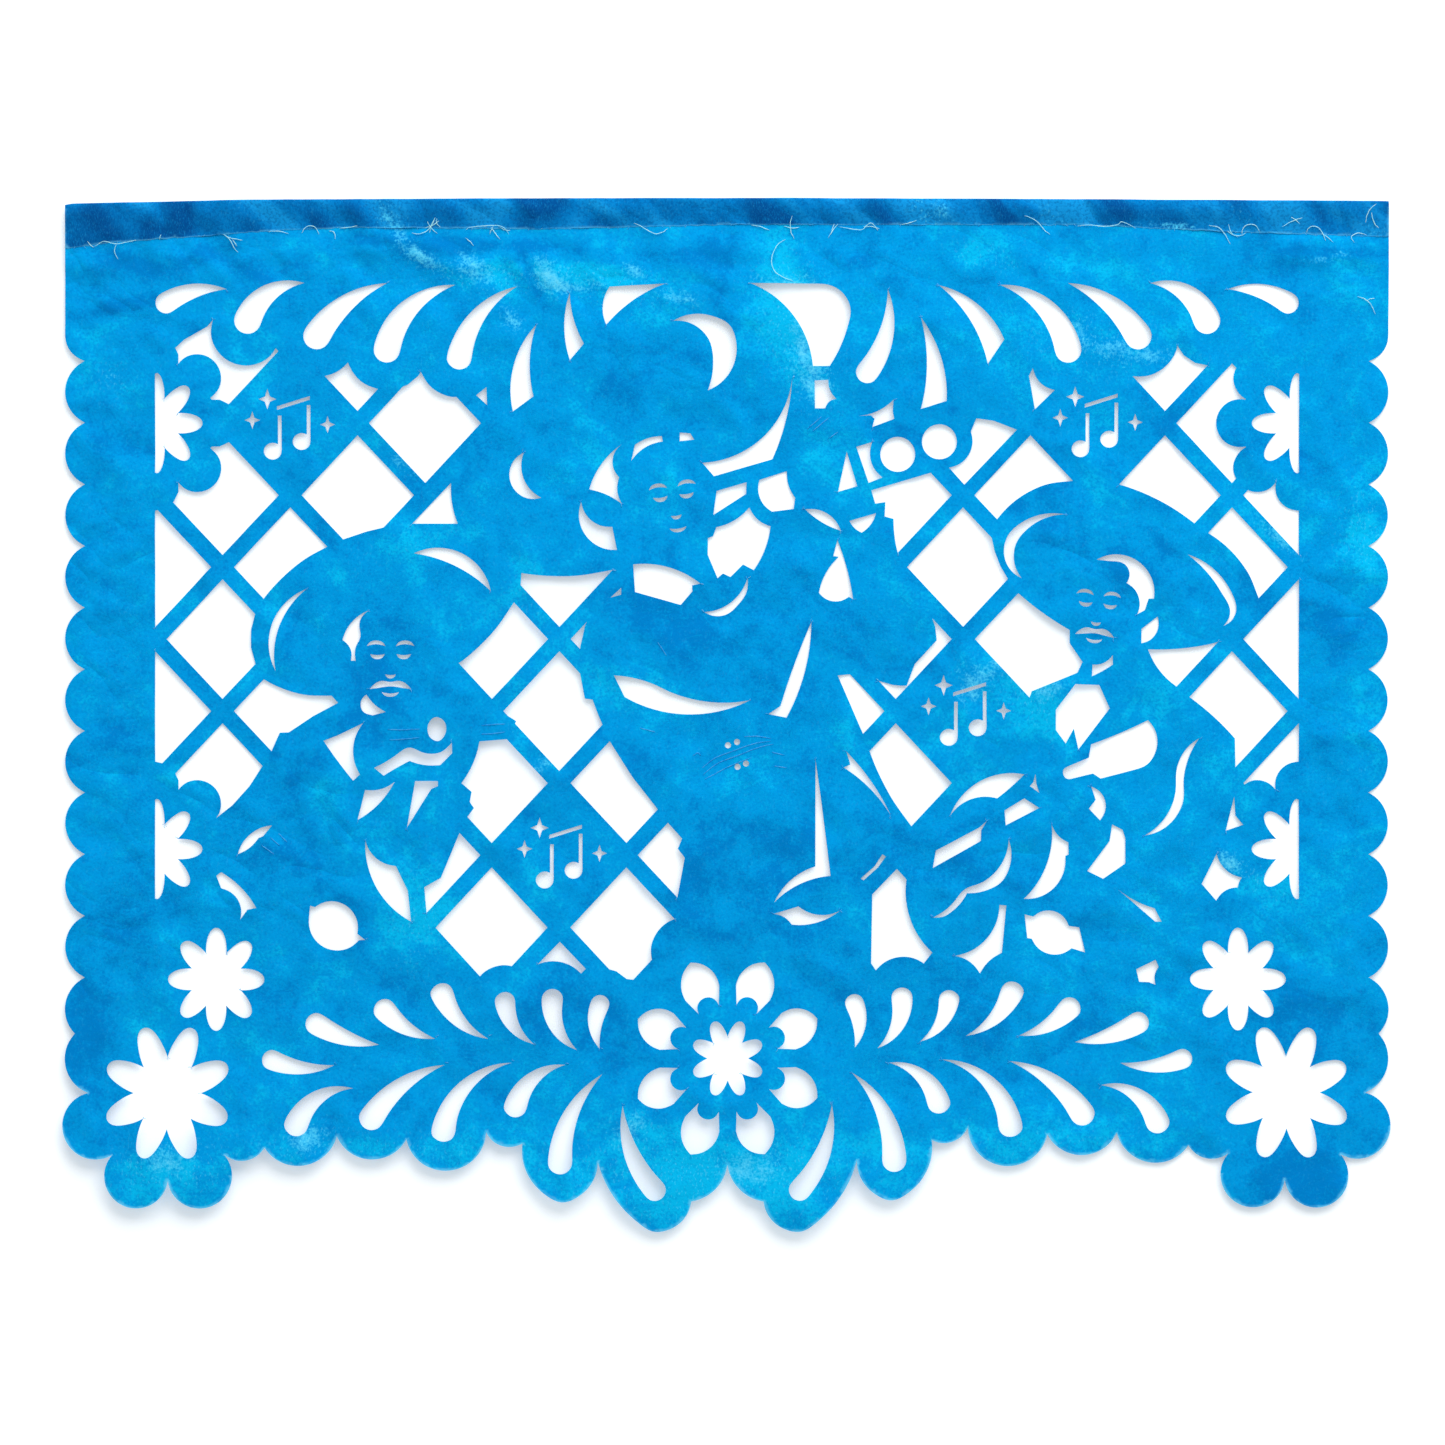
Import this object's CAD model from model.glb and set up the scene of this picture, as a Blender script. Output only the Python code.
"""The looks of the papel picado banner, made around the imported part."""

import math

import bpy
import numpy as np
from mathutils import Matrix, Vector, geometry, kdtree, noise
from mathutils.bvhtree import BVHTree


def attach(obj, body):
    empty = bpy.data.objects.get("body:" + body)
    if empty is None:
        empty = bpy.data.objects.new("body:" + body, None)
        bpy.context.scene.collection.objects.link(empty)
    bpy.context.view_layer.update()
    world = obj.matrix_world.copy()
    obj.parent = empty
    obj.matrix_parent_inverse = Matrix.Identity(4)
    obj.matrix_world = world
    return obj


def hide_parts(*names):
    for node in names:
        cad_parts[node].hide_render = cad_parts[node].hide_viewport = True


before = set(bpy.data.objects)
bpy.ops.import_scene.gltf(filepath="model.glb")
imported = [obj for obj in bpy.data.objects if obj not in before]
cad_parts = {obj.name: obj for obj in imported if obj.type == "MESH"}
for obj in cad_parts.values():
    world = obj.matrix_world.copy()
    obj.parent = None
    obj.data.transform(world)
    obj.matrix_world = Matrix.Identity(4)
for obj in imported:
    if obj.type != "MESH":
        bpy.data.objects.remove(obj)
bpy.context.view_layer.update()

# All lengths below are millimetres, in the part's own frame. Blender gets metres.
MM = 0.001

# The paper
PAPER_THICKNESS = 0.2
CLEAR_OF_FLOOR = 0.3

# The photograph's frame, as it lies on the table: its width and its middle
PHOTO_WIDTH = 482.1
PHOTO_MIDDLE = (-1.62, -2.70)

# Mesh spacing along the cuts
EDGE_STEP = 1.3
LARGEST_STEP_TURN = math.radians(14)
TORN_EDGE_POINTS = 340

# Mesh spacing inside the sheet: jittered rows that keep clear of the cuts and of the fold
INNER_STEP = 2.2
ROW_SPACING = 0.87
JITTER = 0.22
INNER_CLEARANCE = 1.0
FOLD_CLEARANCE = 1.6

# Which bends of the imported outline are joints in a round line, and which are corners: how far
# the line may turn, and how much two neighbouring chisel cuts may differ in length
ROUND_TURN = math.radians(62)
ARC_END_TURN = math.radians(24)
OUTLINE_END_TURN = math.radians(50)
RING_END_TURN = math.radians(8)
EVEN_CHISELS = 0.02

# The same for the flowers and faces, whose cuts are short chisels of uneven length
PETAL_TURN = math.radians(70)
LONGEST_CHISEL = 9.0
CHISEL_RATIO = 3.5

# Only the sheet's own outline has more points than this, and it passes this height by its top
MOST_CUT_POINTS = 400
NEAR_TOP = 100

# How far a round line swells past its chisel cut, and how its small kinks are smoothed: each
# round moves the points in and out again, so that the line doesn't shrink
ARC_SWELL = 0.25
EASING_STEPS = [0.5, -0.52]
EASING_ROUNDS = 16

# The middle and the reach of the flowers, which are mirrored to both sides, of the faces, and
# of the ring of cuts round the lowest flower
FLOWERS = [
    (190.8, 97.1, 16.5),
    (190.8, -44.9, 16.5),
    (170.4, -88.3, 16.8),
    (186.5, -126.1, 22.7),
    (0.1, -114.6, 13.2),
]
FACES = [(-112.5, 19.8, 17), (-18.0, 72.8, 17), (123.5, 36.8, 17)]
FLOWER_RING = (0.1, -114.6, 36)

# The hem: the fold's radius, the paper that half of its bend takes up, how far below the fold
# the flap is glued, and the glue itself
FOLD_RADIUS = 0.42
HALF_BEND = math.pi / 2 * FOLD_RADIUS
GLUE_LINE = 6.6
GLUE_THICKNESS = 0.05

# Straight rows of points by the fold, as distances from it, and how far they stay from the
# sheet's left and right sides
FOLD_ROWS = [-1.2, -HALF_BEND, -HALF_BEND / 2, 0, HALF_BEND / 2, HALF_BEND, 1.2]
FOLD_STEP = 1.9
FROM_LEFT = 1.2
FROM_RIGHT = 1.0

# The fold and the flap's torn edge, as places along the sheet
FOLD = [(-222, 170.1), (-160.5, 171.5), (-60, 172.0), (20, 172.1), (120, 171.7), (222, 171.1)]
FLAP_EDGE = [
    (-222, 155.0), (-205.5, 157.3), (-190.5, 158.3), (-170.5, 159.8), (-150.5, 161.3), (-125.5, 162.3),
    (-60.5, 161.8), (0, 163.3), (120, 163.2), (170, 160.8), (222, 159.2),
]

# How the torn edge wavers: height, waves to a millimetre, and row in the noise
TORN_WAVES = [(0.35, 0.35, 3.1), (0.15, 1.1, 8.1)]


def smoothstep(value, low, high):
    """Goes smoothly from 0 at low to 1 at high."""
    t = np.clip((np.asarray(value, float) - low) / (high - low), 0, 1)
    return t * t * (3 - 2 * t)


def underside_loops(node):
    """The outlines of the flat cut sheet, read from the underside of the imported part."""
    mesh = node.data
    mesh.calc_loop_triangles()
    spots = np.empty(len(mesh.vertices) * 3)
    mesh.vertices.foreach_get("co", spots)
    spots = spots.reshape(-1, 3) / MM
    corners = np.empty(len(mesh.loop_triangles) * 3, int)
    mesh.loop_triangles.foreach_get("vertices", corners)
    corners = corners.reshape(-1, 3)
    corners = corners[(spots[corners][:, :, 2] < 0.01).all(1)]
    keys = np.round(spots[:, :2], 3)
    places, index = np.unique(keys, axis=0, return_inverse=True)
    index = index.ravel()
    runs = set()
    for a, b, c in index[corners]:
        runs.update(((a, b), (b, c), (c, a)))
    following = {a: b for a, b in runs if (b, a) not in runs}
    loops = []
    while following:
        first, at = following.popitem()
        loop = [first]
        while at != first:
            loop.append(at)
            at = following.pop(at)
        loops.append(places[loop])
    return sorted(loops, key=lambda loop: -np.ptp(loop[:, 0]))


def turned(vector, angle):
    """A flat vector turned by an angle."""
    c, s = math.cos(angle), math.sin(angle)
    return np.array([c * vector[0] - s * vector[1], s * vector[0] + c * vector[1]])


def has_uneven_chisels(loop):
    """Whether the loop is a flower, or one of the small cuts in a face."""
    x, y = loop.T
    places = FACES + FLOWERS + [(-x, y, reach) for x, y, reach in FLOWERS]
    return any((np.hypot(x - cx, y - cy) < reach).all() for cx, cy, reach in places)


def widest_end_turn(loop):
    """How far a line may turn where an arc ends and still run on smoothly."""
    if len(loop) > MOST_CUT_POINTS:
        return OUTLINE_END_TURN
    cx, cy, reach = FLOWER_RING
    in_ring = (np.hypot(loop[:, 0] - cx, loop[:, 1] - cy) < reach).all()
    return RING_END_TURN if in_ring else ARC_END_TURN


def tangent_turns(loop, lengths, turns):
    """How far each run's line turns away at its start and at its end, and where it passes
    smoothly on from the run before."""
    before = np.roll(lengths, 1)
    longest = np.maximum(lengths, before)
    if has_uneven_chisels(loop):
        ratio = longest / np.minimum(lengths, before)
        smooth = (np.abs(turns) < PETAL_TURN) & (longest < LONGEST_CHISEL) & (ratio < CHISEL_RATIO)
        at_start = np.where(smooth, turns / 2, np.nan)
        at_end = np.roll(at_start, -1)
        leave = np.where(np.isnan(at_start), at_end, at_start)
        arrive = np.where(np.isnan(at_end), at_start, at_end)
        return np.nan_to_num(leave), np.nan_to_num(arrive), smooth
    even = np.abs(lengths - before) < EVEN_CHISELS * longest
    within = even & (np.abs(turns) < ROUND_TURN)
    own = np.where(within, turns, np.where(np.roll(within, -1), np.roll(turns, -1), 0)) / 2
    gap = turns - own - np.roll(own, 1)
    at_arc = (own != 0) | (np.roll(own, 1) != 0)
    smooth = at_arc & (np.abs(gap) < widest_end_turn(loop))
    gap = np.where(smooth, gap, 0)
    share = before / (lengths + before)
    return own + gap * share, own + np.roll(gap * (1 - share), -1), smooth


def eased(points, corners):
    """The closed line with the small kinks between its arcs smoothed out, without shrinking it."""
    free = np.where(corners, 0.0, 1.0)[:, None]
    for step in EASING_STEPS * EASING_ROUNDS:
        between_neighbours = (np.roll(points, 1, 0) + np.roll(points, -1, 0)) / 2
        points = points + step * free * (between_neighbours - points)
    return points


def rounded(loop):
    """The loop with its chisel joints drawn back into round lines, and its corners kept."""
    runs = np.roll(loop, -1, 0) - loop
    lengths = np.hypot(*runs.T)
    headings = np.arctan2(runs[:, 1], runs[:, 0])
    turns = (headings - np.roll(headings, 1) + math.pi) % (2 * math.pi) - math.pi
    points, corners = [], []
    bends = tangent_turns(loop, lengths, turns)
    for start, run, length, leaving, arriving, smooth in zip(loop, runs, lengths, *bends):
        bend = abs(leaving) + abs(arriving)
        steps = max(math.ceil(length / EDGE_STEP), math.ceil(bend / LARGEST_STEP_TURN))
        reach = 1 + ARC_SWELL * (bend / 2) ** 2
        leave = turned(run, -leaving) * reach
        arrive = turned(run, arriving) * reach
        corners += [not smooth] + [False] * (steps - 1)
        for t in np.arange(steps) / steps:
            points.append(
                start * (2 * t**3 - 3 * t**2 + 1)
                + leave * (t**3 - 2 * t**2 + t)
                + (start + run) * (3 * t**2 - 2 * t**3)
                + arrive * (t**3 - t**2)
            )
    return eased(np.array(points), np.array(corners))


loops = underside_loops(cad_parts["cut_sheet"])
outer, cuts = loops[0], loops[1:]

# The outline starts at its top left corner and goes down the left side first
top_left = int(np.argmax(outer[:, 1] - outer[:, 0]))
outer = np.roll(outer, -top_left, 0)
if outer[1, 1] > NEAR_TOP:
    outer = np.roll(outer[::-1], 1, 0)


def fold_at(x):
    """How high the fold lies at x."""
    return np.interp(x, *np.array(FOLD).T)


def flat_fold_at(x):
    """Where the middle of the fold lies on the sheet before it is folded."""
    return fold_at(x) + (math.pi / 2 - 1) * FOLD_RADIUS


def flap_edge_at(x):
    """How high the flap's torn edge lies at x, once it is folded."""
    return np.interp(x, *np.array(FLAP_EDGE).T)


def flap_length_at(x):
    """How far past the middle of the fold the flap goes."""
    return fold_at(x) - FOLD_RADIUS + HALF_BEND - flap_edge_at(x)


def noise_along(x, waves, row, seed):
    """Smooth noise from -1 to 1 along a line, with that many waves to a millimetre."""
    return np.array([noise.noise(Vector((a * waves, row, seed))) for a in x])


# The sheet's sides and scallops, without the top edge of the folded part
lower = rounded(outer)
left_x, right_x = outer[0, 0], outer[-1, 0]
last = int(np.argmin(np.hypot(*(lower - outer[-1]).T)))
lower = lower[: last + 1]

# The flap's torn edge, before the sheet is folded
torn_x = np.linspace(right_x, left_x, TORN_EDGE_POINTS)
torn_y = flat_fold_at(torn_x) + flap_length_at(torn_x)
for wave_height, waves, row in TORN_WAVES:
    torn_y = torn_y + wave_height * noise_along(torn_x, waves, row, 0)
torn = np.column_stack([torn_x, torn_y])


def side(x, y_from, y_to):
    """Points up or down a straight side, without its ends."""
    steps = max(1, round(abs(y_to - y_from) / EDGE_STEP))
    return [(x, y_from + (y_to - y_from) * k / steps) for k in range(1, steps)]


right_side = side(right_x, lower[-1, 1], torn[0, 1])
left_side = side(left_x, torn[-1, 1], lower[0, 1])
outline = np.vstack([lower, right_side, torn, left_side])
edges_flat = [outline] + [rounded(cut) for cut in cuts]
edge_points = np.vstack(edges_flat)

# 1 where the outline runs round to the left, and -1 where it runs round to the right
outline_x, outline_y = outline.T
way_round = np.sign(outline_x @ np.roll(outline_y, -1) - outline_y @ np.roll(outline_x, -1))

# Points inside the sheet: jittered rows, and close straight rows where the paper is folded
rng = np.random.default_rng(7)
tree = kdtree.KDTree(len(edge_points))
for number, (x, y) in enumerate(edge_points):
    tree.insert((x, y, 0), number)
tree.balance()
inner = []
low, high = outline.min(0), outline.max(0)
row = 0
y = low[1] + INNER_STEP
while y < high[1]:
    for x in np.arange(low[0] + (row % 2) * INNER_STEP / 2, high[0], INNER_STEP):
        spot = (x, y) + rng.uniform(-JITTER, JITTER, 2) * INNER_STEP
        from_fold = spot[1] - flat_fold_at(spot[0])
        if abs(from_fold) > FOLD_CLEARANCE:
            inner.append(spot)
    y += INNER_STEP * ROW_SPACING
    row += 1
for from_fold in FOLD_ROWS:
    for x in np.arange(low[0] + FROM_LEFT, high[0] - FROM_RIGHT, FOLD_STEP):
        inner.append((x, flat_fold_at(x) + from_fold))
inner = [spot for spot in inner if tree.find((*spot, 0))[2] > INNER_CLEARANCE]

# The flat sheet's triangles, with every edge kept as a line of the mesh
SAME_POINT = 1e-5
joins = []
for edge in edges_flat:
    first = joins[-1][0] + 1 if joins else 0
    joins += [(first + k, first + (k + 1) % len(edge)) for k in range(len(edge))]
spots = [Vector(p) for p in edge_points] + [Vector(p) for p in inner]
found = geometry.delaunay_2d_cdt(spots, joins, [], 0, SAME_POINT, False)
flat = np.array([tuple(v) for v in found[0]])
triangles = np.array([tuple(f) for f in found[2]])


def inside(points, loop):
    """Which points lie inside the loop."""
    within = np.zeros(len(points), bool)
    near = np.where(((points > loop.min(0)) & (points < loop.max(0))).all(1))[0]
    x, y = points[near].T
    crossings = np.zeros(len(near), bool)
    for (x1, y1), (x2, y2) in zip(loop, np.roll(loop, -1, 0)):
        if y1 != y2:
            spans = (y1 > y) != (y2 > y)
            crossings ^= spans & (x < (x2 - x1) * (y - y1) / (y2 - y1) + x1)
    within[near] = crossings
    return within


middles = flat[triangles].mean(1)
is_paper = inside(middles, edges_flat[0])
for edge in edges_flat[1:]:
    is_paper &= ~inside(middles, edge)
triangles = triangles[is_paper]
used, triangles = np.unique(triangles, return_inverse=True)
flat, triangles = flat[used], triangles.reshape(-1, 3)

# How the sheet lies: broad lifts off the table as (x, y, reach across, reach up, height)
LIFTS = [
    (-190, -158, 50, 36, 4.8), (-110, -150, 50, 26, 3.4), (-45, -168, 36, 30, 4.4),
    (35, -172, 34, 30, 4.6), (0, -128, 34, 26, 2.4), (-66, -100, 24, 22, 2.3),
    (95, -146, 50, 20, 1.9), (190, -165, 36, 26, 1.8), (-222, 0, 12, 190, 0.8),
    (-95, -8, 34, 30, 2.2), (-66, 35, 26, 34, 1.5), (-30, 55, 30, 30, 1.0),
    (-100, 118, 60, 20, 0.9), (20, 125, 50, 26, 1.8), (110, 120, 60, 20, 1.0),
    (98, 22, 28, 36, 1.5), (-30, -50, 26, 40, 1.0), (60, -60, 40, 30, 0.7),
    (-110, -60, 50, 30, 0.7),
]
# Creases as (x, y, to x, to y, the height of the ridge, its width)
CREASES = [
    (-124, 160, -92, 151, -1.5, 2.6), (-92, 152, -70, 156, -0.9, 3.0), (-196, 158, -172, 154, -0.9, 2.8),
    (-172, 154, -150, 157, -0.7, 3.0), (-71, 158, -60, 137, -1.5, 2.6), (-64, 160, -54, 142, 0.8, 4.0),
    (-120, 157, -100, 150, -0.8, 4.0), (-104, 156, -84, 146, 0.7, 4.5), (-190, 157, -180, 143, -0.6, 4.0),
    (-178, 156, -166, 146, 0.5, 4.5), (-216, 152, -196, 146, 0.6, 4.0), (-214, 139, -184, 131, 0.6, 4.5),
    (-218, 133, -200, 120, -0.6, 4.5), (-150, 150, -136, 152, -0.6, 4.0), (-88, 160, -89, 148, -0.4, 3.0),
    (-32, 152, -20, 145, 0.5, 3.5), (-10, 152, 10, 149, -0.5, 5.0), (52, 158, 62, 150, -0.6, 4.0),
    (92, 152, 104, 143, -0.5, 4.5), (182, 156, 222, 154, -1.5, 2.4), (186, 152, 212, 150, 0.6, 3.6),
    (112, 138, 124, 128, 0.5, 4.0), (153, 137, 158, 117, 0.5, 5.0), (177, 137, 186, 116, 0.5, 6.0),
    (191, -5, 221, -8, 0.55, 5.0), (188, 33, 218, 22, 0.35, 6.0), (-219, 92, -196, 80, 0.45, 7.0),
    (-218, 140, -190, 152, -0.5, 7.0), (-190, 151, -168, 138, 0.45, 7.0), (-160, 150, -128, 141, -0.4, 8.0),
    (-150, -2, -138, -40, 0.4, 6.0), (-128, -6, -122, -44, -0.4, 6.0), (-104, -30, -98, -62, 0.35, 6.0),
    (-205, -44, -168, -50, 0.5, 7.0), (-200, -82, -170, -96, -0.45, 8.0), (-20, -30, 28, -24, 0.35, 8.0),
    (20, -70, 60, -84, 0.4, 9.0), (60, 145, 78, 126, 0.45, 7.0), (-40, 146, -24, 120, -0.4, 8.0),
    (96, 150, 120, 138, 0.4, 8.0), (100, -56, 150, -74, 0.35, 8.0), (165, -60, 200, -78, 0.4, 8.0),
    (-60, 44, -40, 60, 0.35, 7.0), (120, 62, 142, 48, 0.35, 7.0),
]

# How a crease wavers and runs out, and how much wider a valley's raised shoulders are than it
CREASE_WAVER = 0.8
CREASE_WAVE = 5
CREASE_RUN_OUT = 4
SHOULDER_WIDTH = 2.5

# The paper's own unevenness, as the size of its features and their height. The crumpling's
# lines are bent, and the crinkles lie slanted and are strongest by the hem on the left.
WAVE_SIZE, WAVE_HEIGHT = 95, 0.5
BEND_SIZE, BEND = 30, 7
CRUMPLE_SIZE, CRUMPLE_HEIGHT = 26, 0.85
SMALL_CRUMPLE_SIZE, SMALL_CRUMPLE_HEIGHT = 13, 0.55
DIMPLE_SIZE, DIMPLE_HEIGHT = 7.5, 0.24
CRINKLE_SIZE, CRINKLE_HEIGHT, CRINKLE_MORE_BY_HEM = 9, 0.15, 0.45
CRINKLE_HEADING = (0.64, -0.77)
CRINKLE_SQUEEZE = 0.3

# Where a dip would pass through the table, only this share of it is left
DIP_SHARE = 0.1


def noise_at(points, size, seed):
    """Smooth noise from -1 to 1 over the sheet, with features of that size."""
    return np.array([noise.noise(Vector((x / size, y / size, seed))) for x, y in points])


def ridges_at(points, size, seed):
    """Noise with sharp ridges, from -1 to 1."""
    return 1 - np.abs(noise_at(points, size, seed)) * 2


def crease_height(x, y, x1, y1, x2, y2, ridge, width):
    """How much one crease raises or lowers the sheet."""
    along = np.array([x2 - x1, y2 - y1], float)
    length = np.hypot(*along)
    along /= length
    t = (x - x1) * along[0] + (y - y1) * along[1]
    waver = CREASE_WAVER * np.sin(t / CREASE_WAVE)
    off = np.abs((x - x1) * -along[1] + (y - y1) * along[0] + waver)
    ends = smoothstep(t, -CREASE_RUN_OUT, length * 0.3)
    ends = ends * smoothstep(-t, -length - CREASE_RUN_OUT, -length * 0.7)
    profile = np.clip(1 - off / width, 0, 1) ** 1.3
    if ridge < 0:
        shoulders = np.clip(1 - off / (SHOULDER_WIDTH * width), 0, 1) ** 2
        profile = 2 * (profile - shoulders)
    return ridge * ends * profile


def height_at(points):
    """How high the sheet lies above the table, without the fold."""
    x, y = points.T
    height = np.zeros(len(points))
    for cx, cy, across, up, lift in LIFTS:
        height += lift * np.exp(-(((x - cx) / across) ** 2) - ((y - cy) / up) ** 2)
    off_hem = 0.5 + 0.5 * smoothstep(y, 170, 120)
    height += WAVE_HEIGHT * (0.6 + noise_at(points, WAVE_SIZE, 1.7)) * off_hem
    bend = [noise_at(points, BEND_SIZE, 5.1), noise_at(points, BEND_SIZE, 9.4)]
    bend = BEND * np.stack(bend, 1)
    height += CRUMPLE_HEIGHT * ridges_at(points + bend, CRUMPLE_SIZE, 2.2)
    height += SMALL_CRUMPLE_HEIGHT * ridges_at(points + bend, SMALL_CRUMPLE_SIZE, 6.6)
    height += DIMPLE_HEIGHT * noise_at(points, DIMPLE_SIZE, 4.4)
    east, north = CRINKLE_HEADING
    along, across = east * x + north * y, -north * x + east * y
    slanted = np.stack([along * CRINKLE_SQUEEZE, across], 1) + bend / 4
    by_hem = smoothstep(y, 118, 140) * smoothstep(-x, -130, 40)
    crinkle_height = CRINKLE_HEIGHT + CRINKLE_MORE_BY_HEM * by_hem
    height += crinkle_height * ridges_at(slanted, CRINKLE_SIZE, 3.9)
    for crease in CREASES:
        height += crease_height(x, y, *crease)
    dip = np.minimum(height, 0.0)
    return CLEAR_OF_FLOOR + height - dip + DIP_SHARE * dip


# The flap: how its sleeve swells, its slanted puckers in two sizes, and its torn edge's curl
SLEEVE_SWELL, SLEEVE_SWELL_VARIES, SLEEVE_WAVES = 0.25, 0.35, 0.05
PUCKER_SLANT = 0.8
PUCKER_SIZE, PUCKER_HEIGHT = 15, 1.1
FINE_PUCKER_SIZE, FINE_PUCKER_HEIGHT = 6, 0.32
CURL_SIZE, CURL_HEIGHT, CURL_DROP, CURL_REACH = 14, 0.7, 0.1, 2.2


def folded(points):
    """The flat sheet's points laid on the table, with the flap folded over to the front."""
    x, y = points.T
    past = y - flat_fold_at(x)
    below_fold = fold_at(x) - FOLD_RADIUS
    turn = np.clip(past / FOLD_RADIUS, -math.pi / 2, math.pi / 2)
    on_arc = below_fold + FOLD_RADIUS * np.cos(turn)
    on_flap = np.maximum(past - HALF_BEND, 0)
    folded_y = np.where(past <= HALF_BEND, on_arc, below_fold - on_flap)
    new_y = np.where(past < -HALF_BEND, y, folded_y)
    arch = FOLD_RADIUS * (1 + np.sin(turn))
    height = height_at(np.stack([x, new_y], 1))

    # the sleeve stands a little open by the fold, and is glued below it
    closing = smoothstep(on_flap, 0.5, GLUE_LINE)
    layer = arch - closing * (2 * FOLD_RADIUS - PAPER_THICKNESS - GLUE_THICKNESS)
    swell = np.sin(np.clip(on_flap / (GLUE_LINE + 1), 0, 1) * math.pi) ** 0.8
    varies = SLEEVE_SWELL_VARIES * noise_along(x, SLEEVE_WAVES, 0.3, 2) ** 2
    layer += swell * (SLEEVE_SWELL + varies)

    # the flap is puckered, and its torn edge lifts here and there
    slant = x - PUCKER_SLANT * on_flap
    pucker = noise_at(np.stack([slant, on_flap * 0.45], 1), PUCKER_SIZE, 6.2)
    fine = noise_at(np.stack([slant, on_flap * 0.4], 1), FINE_PUCKER_SIZE, 1.2)
    puckered = PUCKER_HEIGHT * np.clip(pucker + 0.25, 0, 1)
    puckered = puckered + FINE_PUCKER_HEIGHT * np.clip(fine + 0.3, 0, 1)
    over = smoothstep(past, HALF_BEND * 0.2, HALF_BEND + 2.5)
    to_edge = flap_length_at(x) - past
    layer += over * smoothstep(to_edge, 0.5, 5) * puckered
    curl = np.clip(noise_along(x, 1 / CURL_SIZE, 0.7, 3.3), 0, 1) * CURL_HEIGHT - CURL_DROP
    layer += over * smoothstep(-to_edge, -CURL_REACH, 0) * curl
    return np.stack([x, new_y, height + np.where(past > -HALF_BEND, layer, 0)], 1)


# Where the waves pull the sheet to a side: (x, y, reach across, reach up, to the right, upwards)
PULLS = [
    (-92, -128, 48, 46, -0.3, -1.1), (112, -152, 60, 36, 0.2, 0.7),
    (-140, -165, 55, 26, -0.8, 0.0), (-95, 60, 60, 70, 0.3, 0.0),
    (222, -20, 45, 190, -0.5, 0.0),
]


def pulled(points):
    """The points where the waves leave them."""
    x, y, z = points.T.copy()
    for cx, cy, across, up, right, upwards in PULLS:
        near = np.exp(-(((points[:, 0] - cx) / across) ** 2) - ((points[:, 1] - cy) / up) ** 2)
        x += right * near
        y += upwards * near
    return np.stack([x, y, z], 1)


middle = pulled(folded(flat))


def normals_of(points, faces):
    """Each point's normal, from the faces round it."""
    a, b, c = (points[faces[:, k]] for k in range(3))
    face_normals = np.cross(b - a, c - a)
    total = np.zeros_like(points)
    for k in range(3):
        np.add.at(total, faces[:, k], face_normals)
    return total / np.linalg.norm(total, axis=1, keepdims=True)


def rim_of(faces):
    """The edges that only one face uses, each in its face's direction."""
    runs = np.concatenate([faces[:, [0, 1]], faces[:, [1, 2]], faces[:, [2, 0]]])
    key = np.sort(runs, 1)
    _, first, uses = np.unique(key, axis=0, return_index=True, return_counts=True)
    return runs[first[uses == 1]]


def turned_up(points, faces):
    """The faces with the same way round, so that all look out of the paper's front."""
    a, b, c = (points[faces[:, k]] for k in range(3))
    area = (b[:, 0] - a[:, 0]) * (c[:, 1] - a[:, 1]) - (b[:, 1] - a[:, 1]) * (c[:, 0] - a[:, 0])
    faces = faces.copy()
    faces[area < 0] = faces[area < 0][:, ::-1]
    return faces


def new_piece(name, points, faces, material):
    """A Blender object from points in millimetres."""
    mesh = bpy.data.meshes.new(name)
    mesh.from_pydata([tuple(p) for p in points * MM], [], [tuple(int(i) for i in f) for f in faces])
    mesh.materials.append(material)
    mesh.shade_smooth()
    piece = bpy.data.objects.new(name, mesh)
    bpy.context.scene.collection.objects.link(piece)
    return piece


triangles = turned_up(flat, triangles)
outward = normals_of(middle, triangles)
front = middle + outward * PAPER_THICKNESS / 2
back = middle - outward * PAPER_THICKNESS / 2
count = len(middle)
rim = rim_of(triangles)
faces = [tuple(t) for t in triangles] + [tuple(t + count) for t in triangles[:, ::-1]]
faces += [(b, a, a + count, b + count) for a, b in rim]

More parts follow.
